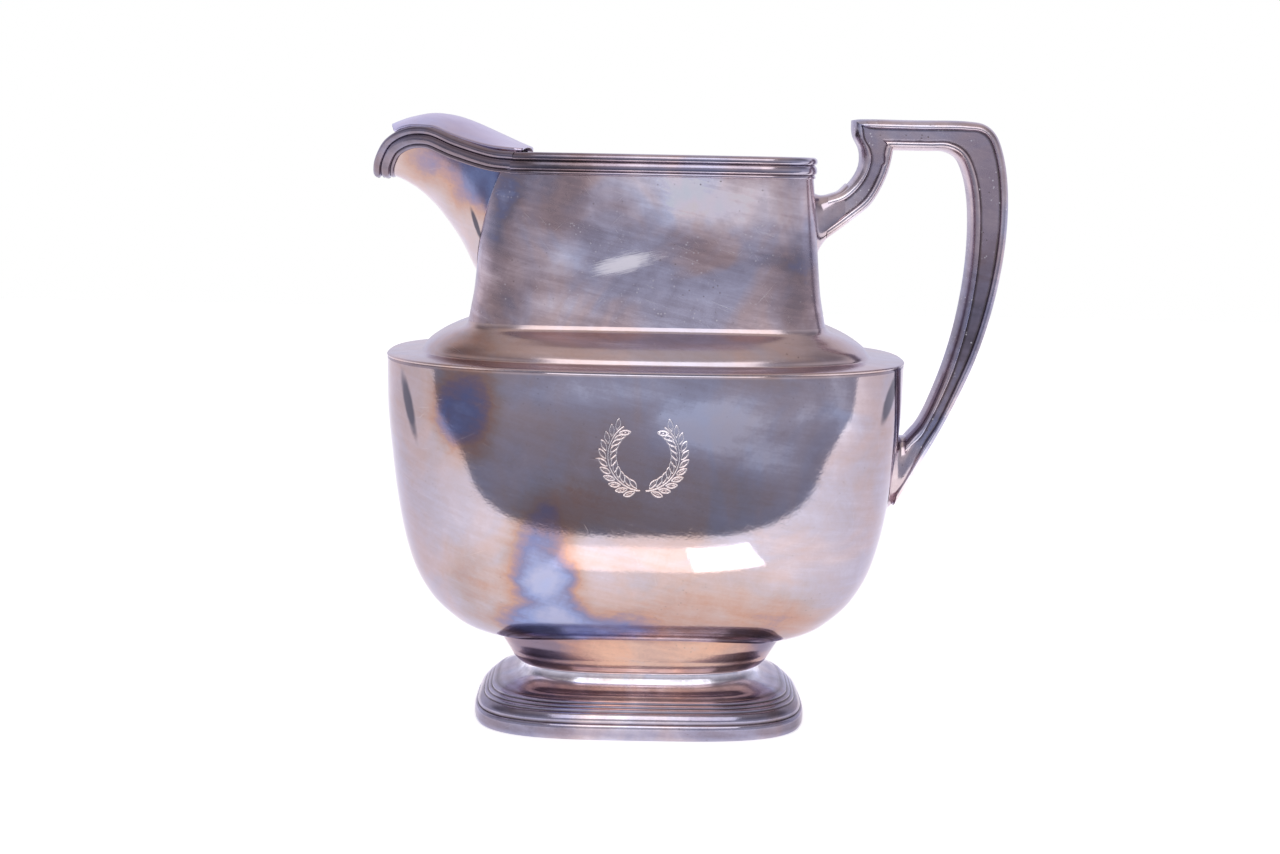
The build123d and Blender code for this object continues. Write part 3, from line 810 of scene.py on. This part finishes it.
# Tarnish colours as the film on the silver thickens: WARM on bowl, shoulder and spout, GREY on the neck,
# DARK on mouldings, handle, sockets and foot, COPPER on the collar, LAVENDER on the ice guard.
WARM = [
    (0.00, (0.90, 0.87, 0.93)),
    (0.10, (0.68, 0.63, 0.68)),
    (0.22, (0.58, 0.51, 0.54)),
    (0.36, (0.53, 0.425, 0.40)),
    (0.48, (0.50, 0.33, 0.27)),
    (0.58, (0.36, 0.27, 0.32)),
    (0.70, (0.24, 0.25, 0.40)),
    (0.84, (0.30, 0.36, 0.58)),
    (1.00, (0.42, 0.46, 0.64)),
]
GREY = [
    (0.00, (0.98, 0.95, 1.00)),
    (0.15, (0.78, 0.74, 0.79)),
    (0.35, (0.58, 0.52, 0.56)),
    (0.55, (0.40, 0.34, 0.37)),
    (0.75, (0.27, 0.24, 0.28)),
    (0.88, (0.22, 0.23, 0.34)),
    (1.00, (0.30, 0.34, 0.50)),
]
DARK = [
    (0.00, (0.98, 0.95, 1.00)),
    (0.15, (0.78, 0.74, 0.79)),
    (0.35, (0.54, 0.49, 0.54)),
    (0.52, (0.37, 0.34, 0.42)),
    (0.70, (0.25, 0.21, 0.24)),
    (0.85, (0.15, 0.125, 0.14)),
    (1.00, (0.10, 0.08, 0.09)),
]
COPPER = [
    (0.00, (0.90, 0.87, 0.93)),
    (0.25, (0.60, 0.52, 0.54)),
    (0.42, (0.70, 0.47, 0.36)),
    (0.58, (0.50, 0.31, 0.26)),
    (0.74, (0.27, 0.21, 0.26)),
    (1.00, (0.20, 0.20, 0.29)),
]
LAVENDER = [
    (0.0, (0.86, 0.84, 1.00)),
    (1.0, (0.55, 0.50, 0.68)),
]


def silver(name, tints, film, clouds, patches=(), roughness=0.1, dull=0.1, scratches=0.5, specks=0.3,
           tinge=0.5, ragged_edge=0.7, painted_shade_ends=False, scuffs=(), painted_dark_reflections=(), glints=0.0):
    """Tarnished silver plate.

    tints: its colours; film: how thick the tarnish is on average; clouds: how much it varies;
    patches: (place, reach, change of film); dull: extra roughness where the film is thick;
    tinge: how much the colour drifts between warm and cool; the ends switch paints shade by darkening the
    colour towards both ends along X; scuffs and the painted dark reflections: (place, reach, tilt) of bright
    rubbed places and of narrow dark streaks that paint reflections into the colour; glints: strength of the
    tiny bright specks.
    """
    material = bpy.data.materials.new(name)
    material.use_nodes = True
    s = Shade(material.node_tree)
    shader = material.node_tree.nodes["Principled BSDF"]
    here = s.add("ShaderNodeTexCoord").outputs["Object"]
    broad = s.noise(here, 21, 4, 0.6, 0.6)
    fine = s.noise(here, 75, 5, 0.9, 0.62, (0.3, 0.1, 0.7))
    grain = s.noise(here, 900, 3, 0.0, 0.6)
    wiped = s.noise(s.scaled(here, (40, 40, 420), (0.1, 0.22, 0.0)), 1.0, 4, 0.0, 0.62)
    ragged = s.math("SUBTRACT", s.noise(here, 45, 4, 0.4, 0.6, (0.9, 0.4, 0.2)), 0.5)
    thick = s.total(
        film,
        s.math("MULTIPLY", s.math("SUBTRACT", broad, 0.5), clouds * 1.5),
        s.math("MULTIPLY", s.math("SUBTRACT", fine, 0.5), clouds * 0.75),
        s.math("MULTIPLY", s.math("SUBTRACT", wiped, 0.5), clouds * 0.7),
        s.math("MULTIPLY", s.math("SUBTRACT", grain, 0.5), 0.08),
    )
    for place, reach, change in patches:
        amount = s.near(here, place, reach, ragged_edge, ragged)
        thick = s.math("ADD", thick, s.math("MULTIPLY", amount, change))
    # Crests get a thinner film, which is partly rubbed wear and partly a painted highlight along the beads
    # and reeds; grooves get a darker colour, tarnish left in the hollows.
    crest = s.add("ShaderNodeAttribute", attribute_name="crest").outputs["Fac"]
    groove = s.math("MULTIPLY", s.step(crest, -0.9, -0.1, 1.0, 0.0), s.step(fine, 0.38, 0.60, 0.45, 1.0))
    thick = s.math("SUBTRACT", thick, s.math("MULTIPLY", crest, 0.22))
    thick = s.math("MAXIMUM", s.math("MINIMUM", thick, 1.0), 0.0)
    colour = s.ramp(thick, tints)
    drift = s.step(s.noise(here, 30, 3, 0.8, 0.6, (0.6, 0.9, 0.1)), 0.36, 0.64)
    colour = s.mix(tinge, colour, s.mix(drift, (1.10, 0.97, 0.92), (0.90, 0.98, 1.14)), "MULTIPLY")
    # painted shade: the colour is darkened towards both ends along X, so the bowl's sides look darker
    if painted_shade_ends:
        place = s.add("ShaderNodeSeparateXYZ")
        s.put(place.inputs[0], here)
        end = s.step(s.math("ABSOLUTE", place.outputs[0]), 0.040, 0.084)
        colour = s.mix(end, colour, (0.70, 0.69, 0.73), "MULTIPLY")

    # fine wiping scratches in three directions
    lines = None
    for turn, shift in (((0.15, 0.35, 0.2), 0.0), ((0.5, -0.8, 0.1), 0.3), ((-0.4, 1.2, 0.6), 0.7)):
        strand = s.scaled(here, (70, 70, 5200), turn)
        one = s.step(s.noise(strand, 1.0, 2, 0.0, 0.5, (shift, shift, shift)), 0.70, 0.76)
        lines = one if lines is None else s.math("MAXIMUM", lines, one)
    lines = s.math("MULTIPLY", lines, s.step(fine, 0.42, 0.62, 0.15, 1.0))
    pit = s.add("ShaderNodeTexVoronoi", feature="F1")
    s.put(pit.inputs["Vector"], here)
    pit.inputs["Scale"].default_value = 420
    spots = s.step(pit.outputs["Distance"], 0.05, 0.16, 1.0, 0.0)
    spots = s.math("MULTIPLY", spots, s.step(s.noise(here, 60, 3), 0.50, 0.66))
    colour = s.mix(s.math("MULTIPLY", lines, 0.22 * scratches), colour, (0.93, 0.90, 0.89))
    colour = s.mix(s.math("MULTIPLY", spots, specks), colour, (0.16, 0.12, 0.11))
    colour = s.mix(s.math("MULTIPLY", groove, 0.75), colour, (0.10, 0.085, 0.09))
    rubbed = 0.0
    strands = s.noise(s.scaled(here, (170, 170, 2600), (0.0, -0.24, 0.0)), 1.0, 3, 0.0, 0.6)
    for place, reach, tilt in scuffs:
        amount = s.math("MULTIPLY", s.near(here, place, reach, 0.6, ragged, tilt), 0.80)
        rubbed = s.math("MAXIMUM", rubbed, s.step(s.math("ADD", amount, strands), 0.66, 1.26))
        colour = s.mix(s.math("MULTIPLY", rubbed, 0.9), colour, (0.98, 0.95, 1.0))
    # painted dark reflections: narrow dark streaks put into the colour where the silver should mirror
    # something dark
    for place, reach, tilt in painted_dark_reflections:
        amount = s.step(s.near(here, place, reach, 0.7, ragged, tilt), 0.20, 0.75)
        colour = s.mix(s.math("MULTIPLY", amount, 0.90), colour, (0.07, 0.07, 0.10))
    if glints:
        dust = s.add("ShaderNodeTexVoronoi", feature="F1")
        s.put(dust.inputs["Vector"], here)
        dust.inputs["Scale"].default_value = 640
        grains = s.step(dust.outputs["Distance"], 0.10, 0.24, 1.0, 0.0)
        dots = s.math("MULTIPLY", grains, s.step(fine, 0.50, 0.62))
        colour = s.mix(s.math("MULTIPLY", dots, glints), colour, (0.90, 0.87, 0.90))
    engraved = s.add("ShaderNodeAttribute", attribute_name="cut").outputs["Fac"]
    engraved = s.step(engraved, 0.15, 0.75)
    colour = s.mix(s.math("MULTIPLY", engraved, 0.85), colour, (0.96, 0.94, 0.95))
    s.put(shader.inputs["Base Color"], colour)
    shader.inputs["Metallic"].default_value = 1.0
    shader.inputs["Specular Tint"].default_value = (0.93, 0.92, 1.0, 1)
    haze = s.total(
        roughness,
        s.math("MULTIPLY", s.step(thick, 0.3, 0.8), dull),
        s.math("MULTIPLY", s.math("SUBTRACT", fine, 0.5), 0.10),
        s.math("MULTIPLY", lines, 0.06 * scratches),
        s.math("MULTIPLY", engraved, 0.35),
        s.math("MULTIPLY", groove, 0.25),
        s.math("MULTIPLY", rubbed, 0.25),
    )
    s.put(shader.inputs["Roughness"], s.math("MAXIMUM", haze, 0.03))
    relief = s.total(
        s.math("MULTIPLY", lines, -0.06 * scratches),
        s.math("MULTIPLY", spots, -0.5 * specks),
        s.math("MULTIPLY", grain, 0.25),
        s.math("MULTIPLY", s.noise(here, 38, 2), 1.6),
    )
    bump = s.add("ShaderNodeBump")
    bump.inputs["Strength"].default_value = 0.10
    bump.inputs["Distance"].default_value = 0.0004
    s.put(bump.inputs["Height"], relief)
    s.put(shader.inputs["Normal"], bump.outputs[0])
    return material


FINISHES = {
    "bowl": silver("silver_bowl", WARM, 0.25, 0.28, [
        ((-0.0330, -0.055, 0.066), (0.0170, 0.030, 0.024), 0.46),
        ((-0.0290, -0.052, 0.052), (0.0180, 0.030, 0.018), 0.36),
        ((-0.0250, -0.044, 0.040), (0.0420, 0.050, 0.0120), 0.52),
        ((-0.057, -0.048, 0.113), (0.017, 0.030, 0.022), 0.52),
        ((-0.052, -0.040, 0.062), (0.020, 0.030, 0.020), 0.16),
        ((0.0, -0.045, 0.044), (0.110, 0.060, 0.030), 0.12),
        ((0.050, -0.045, 0.042), (0.034, 0.040, 0.014), 0.14),
        ((0.024, -0.060, 0.110), (0.034, 0.030, 0.018), -0.30),
        ((0.058, -0.045, 0.114), (0.018, 0.030, 0.018), -0.26),
        ((0.042, -0.052, 0.098), (0.022, 0.030, 0.012), -0.16),
        ((-0.010, -0.060, 0.121), (0.030, 0.030, 0.008), -0.20),
        ((0.030, -0.060, 0.088), (0.020, 0.030, 0.010), 0.12),
        ((-0.022, -0.060, 0.084), (0.030, 0.030, 0.012), 0.16),
    ], roughness=0.07, dull=0.06, scratches=1.0, tinge=0.6, ragged_edge=0.55, painted_shade_ends=True, painted_dark_reflections=[
        # painted dark reflections: two dark streaks down the ends of the bowl, which also has painted shade
        # towards its ends
        ((-0.0778, -0.036, 0.1120), (0.0030, 0.040, 0.0200), -0.24),
        ((0.0808, -0.034, 0.1165), (0.0028, 0.040, 0.0135), 0.32),
    ]),
    "shoulder": silver("silver_shoulder", WARM, 0.26, 0.22, [
        ((-0.060, -0.040, 0.131), (0.022, 0.030, 0.010), 0.16),
    ], roughness=0.21, dull=0.08, scratches=0.9, specks=0.6, tinge=0.7),
    "neck": silver("silver_neck", GREY, 0.38, 0.62, [
        ((-0.030, -0.040, 0.182), (0.022, 0.020, 0.022), 0.28),
        ((-0.046, -0.036, 0.184), (0.010, 0.030, 0.018), 0.44),
        ((-0.050, -0.036, 0.168), (0.008, 0.030, 0.020), 0.30),
        ((0.014, -0.040, 0.182), (0.024, 0.020, 0.016), -0.46),
        ((0.034, -0.040, 0.178), (0.018, 0.020, 0.018), -0.30),
        ((-0.026, -0.040, 0.160), (0.012, 0.020, 0.010), -0.26),
        ((0.050, -0.038, 0.150), (0.014, 0.030, 0.024), 0.34),
        ((-0.046, -0.038, 0.146), (0.012, 0.030, 0.012), 0.24),
        ((-0.028, -0.040, 0.146), (0.018, 0.030, 0.008), -0.12),
        ((-0.008, -0.040, 0.186), (0.016, 0.020, 0.010), -0.20),
    ], roughness=0.21, dull=0.08, scratches=1.6, specks=0.8, tinge=1.0, scuffs=[
        ((-0.0078, -0.040, 0.1598), (0.0170, 0.030, 0.0052), -0.24),
    ], glints=0.5),
    "spout": silver("silver_spout", WARM, 0.30, 0.22, [
        ((-0.074, -0.024, 0.192), (0.015, 0.040, 0.013), 0.26),
        ((-0.062, -0.030, 0.184), (0.008, 0.040, 0.018), 0.26),
        ((-0.054, -0.034, 0.188), (0.010, 0.040, 0.022), 0.46),
        ((-0.050, -0.036, 0.172), (0.005, 0.040, 0.028), 0.40),
    ], roughness=0.14, dull=0.10, scratches=0.8, specks=0.5, painted_dark_reflections=[
        # painted dark reflection: a dark streak near where the spout meets the neck
        ((-0.0572, -0.028, 0.1712), (0.0015, 0.040, 0.0100), -0.32),
    ]),
    "rim_moulding": silver("silver_rim", DARK, 0.52, 0.30, [
        ((-0.034, -0.040, 0.192), (0.032, 0.030, 0.020), 0.32),
    ], roughness=0.12, dull=0.08, scratches=0.4, tinge=0.8),
    "lip_moulding": silver(
        "silver_lip", DARK, 0.76, 0.26, roughness=0.12, dull=0.08, scratches=0.4, tinge=0.8),
    "ice_guard": silver(
        "silver_guard", LAVENDER, 0.66, 0.50, roughness=0.18, dull=0.05, scratches=0.4, specks=0.2),
    "handle_near_half": silver("silver_handle", DARK, 0.48, 0.34, [
        ((0.096, -0.006, 0.205), (0.030, 0.030, 0.014), -0.06),
        ((0.112, -0.006, 0.140), (0.018, 0.030, 0.042), 0.24),
        ((0.092, -0.006, 0.088), (0.014, 0.030, 0.018), -0.28),
        ((0.066, -0.006, 0.178), (0.014, 0.030, 0.014), -0.24),
    ], roughness=0.22, dull=0.12, scratches=0.8, specks=1.0, tinge=0.9, glints=0.9),
    "upper_socket": silver(
        "silver_socket", DARK, 0.33, 0.26, roughness=0.17, dull=0.10, specks=0.5, tinge=0.8),
    "foot_base": silver("silver_foot", DARK, 0.64, 0.34, [
        # painted highlight: thinner film in a band round the cove, so it reads bright
        ((0.0, 0.0, 0.0178), (0.150, 0.150, 0.0060), -0.72),
        # painted highlight on the middle of the foot's front, and painted shade at both ends (next two)
        ((0.0, -0.040, 0.008), (0.040, 0.030, 0.016), -0.24),
        ((-0.048, -0.020, 0.006), (0.024, 0.040, 0.016), 0.14),
        ((0.052, -0.020, 0.006), (0.020, 0.040, 0.016), 0.14),
    ], roughness=0.10, dull=0.08, specks=0.4, tinge=0.7),
    "foot_collar": silver("silver_collar", COPPER, 0.44, 0.22, [
        # painted shade: thicker film at both ends of the collar and along the top of its front
        ((0.048, -0.024, 0.034), (0.026, 0.030, 0.018), 0.32),
        ((-0.036, -0.028, 0.030), (0.028, 0.030, 0.018), 0.36),
        ((0.000, -0.040, 0.037), (0.070, 0.030, 0.005), 0.24),
    ], roughness=0.09, dull=0.08, specks=0.4, ragged_edge=0.4),
}
FINISHES["handle_far_half"] = FINISHES["handle_near_half"]
FINISHES["lower_socket"] = FINISHES["upper_socket"]
FINISHES["foot_wire"] = FINISHES["foot_base"]
for piece, node in pieces:
    piece.data.materials.append(FINISHES[node])

# ---- floor ----
# The table under the pitcher ends a little way in front of it.
FLOOR = ((-1.6, -0.213), (1.6, 1.8))
floor_data = bpy.data.meshes.new("floor")
(x0, y0), (x1, y1) = FLOOR
floor_data.from_pydata([(x0, y0, 0), (x1, y0, 0), (x1, y1, 0), (x0, y1, 0)], [], [(0, 1, 2, 3)])
floor = bpy.data.objects.new("floor", floor_data)
bpy.context.scene.collection.objects.link(floor)
pale = bpy.data.materials.new("pale_floor")
pale.use_nodes = True
pale_shader = pale.node_tree.nodes["Principled BSDF"]
pale_shader.inputs["Base Color"].default_value = (0.88, 0.88, 0.89, 1)
pale_shader.inputs["Roughness"].default_value = 0.7
pale_shader.inputs["Emission Color"].default_value = (1.0, 0.995, 1.0, 1)
pale_shader.inputs["Emission Strength"].default_value = 0.62
floor.data.materials.append(pale)

# ---- camera ----
EYE = Vector((-6.1, -700.0, 196.0)) * MM
HEADING, PITCH, ROLL = math.radians(0.38), math.radians(7.74), math.radians(1.12)
right = Vector((math.cos(HEADING), -math.sin(HEADING), 0))
ahead = Vector((math.sin(HEADING), math.cos(HEADING), 0))
forward = ahead * math.cos(PITCH) - Vector((0, 0, 1)) * math.sin(PITCH)
upward = ahead * math.sin(PITCH) + Vector((0, 0, 1)) * math.cos(PITCH)
side = right * math.cos(ROLL) + upward * math.sin(ROLL)
top = upward * math.cos(ROLL) - right * math.sin(ROLL)
camera_data = bpy.data.cameras.new("camera")
camera_data.lens = 57.05
camera_data.sensor_width = 36.0
camera_data.sensor_fit = "HORIZONTAL"
camera = bpy.data.objects.new("camera", camera_data)
camera.matrix_world = Matrix.Translation(EYE) @ Matrix((side, top, -forward)).transposed().to_4x4()
bpy.context.scene.collection.objects.link(camera)
bpy.context.scene.camera = camera

# ---- light: a pale tent round the back and sides, open in front to a dim room ----
world = bpy.data.worlds.new("studio")
bpy.context.scene.world = world
world.use_nodes = True
w = Shade(world.node_tree)
split = w.add("ShaderNodeSeparateXYZ")
w.put(split.inputs[0], w.add("ShaderNodeTexCoord").outputs["Generated"])
_, inward, height = split.outputs
share = w.math("ADD", w.math("MULTIPLY", height, 0.5), 0.5)
backdrop = w.ramp(share, [
    (0.0, (0.72, 0.72, 0.78)), (0.5, (0.82, 0.81, 0.90)), (0.66, (0.86, 0.85, 0.94)),
    (0.80, (0.70, 0.68, 0.74)), (0.97, (0.68, 0.61, 0.60)),
])
sides = w.ramp(share, [
    (0.0, (0.66, 0.66, 0.72)), (0.50, (0.72, 0.71, 0.80)), (0.60, (0.55, 0.54, 0.62)),
    (0.72, (0.24, 0.23, 0.28)), (0.88, (0.30, 0.27, 0.29)), (1.0, (0.66, 0.58, 0.56)),
])
room = w.ramp(share, [
    (0.0, (0.12, 0.13, 0.16)), (0.28, (0.20, 0.21, 0.27)), (0.36, (0.31, 0.33, 0.43)),
    (0.44, (0.39, 0.41, 0.51)), (0.50, (0.46, 0.46, 0.53)), (0.54, (0.62, 0.60, 0.66)),
    (0.62, (0.52, 0.50, 0.54)), (0.76, (0.28, 0.26, 0.30)), (0.90, (0.52, 0.46, 0.45)),
    (1.0, (0.72, 0.62, 0.58)),
])
seen = w.mix(w.step(inward, 0.15, 0.60), sides, backdrop)
seen = w.mix(w.step(inward, -0.12, -0.24), seen, room)
background = world.node_tree.nodes["Background"]
w.put(background.inputs["Color"], seen)
plain_white = w.add("ShaderNodeBackground")
plain_white.inputs["Color"].default_value = (1, 1, 1, 1)
pick = w.add("ShaderNodeMixShader")
w.put(pick.inputs[0], w.add("ShaderNodeLightPath").outputs["Is Camera Ray"])
w.put(pick.inputs[1], background.outputs[0])
w.put(pick.inputs[2], plain_white.outputs[0])
w.put(world.node_tree.nodes["World Output"].inputs["Surface"], pick.outputs[0])
bpy.context.scene.view_settings.view_transform = "Standard"


def panel(name, centre, aim, size, power, mirrored, tint=(1, 1, 1)):
    """Soft rectangular light; mirrored says whether the silver shows it."""
    data = bpy.data.lights.new(name, "AREA")
    data.color = tint
    data.shape = "RECTANGLE"
    data.size, data.size_y = size
    data.energy = power
    lamp = bpy.data.objects.new(name, data)
    lamp.location = centre
    lamp.rotation_euler = Vector(aim).to_track_quat("-Z", "Y").to_euler()
    lamp.visible_glossy = mirrored
    bpy.context.scene.collection.objects.link(lamp)


panel("overhead", (0, 0.1, 1.1), (0, 0, -1), (1.6, 1.6), 1.5, False)
panel("softbox", (0.10, -1.25, 0.97), (0, 1.25, -0.87), (1.25, 0.90), 5.2, True)
panel("card_bright", (0.0617, -0.160, 0.002), (0, 0, 1), (0.0655, 0.052), 0.019, True)
panel("card_dim", (-0.016, -0.160, 0.002), (0, 0, 1), (0.088, 0.052), 0.0095, True, (1.0, 0.84, 0.74))
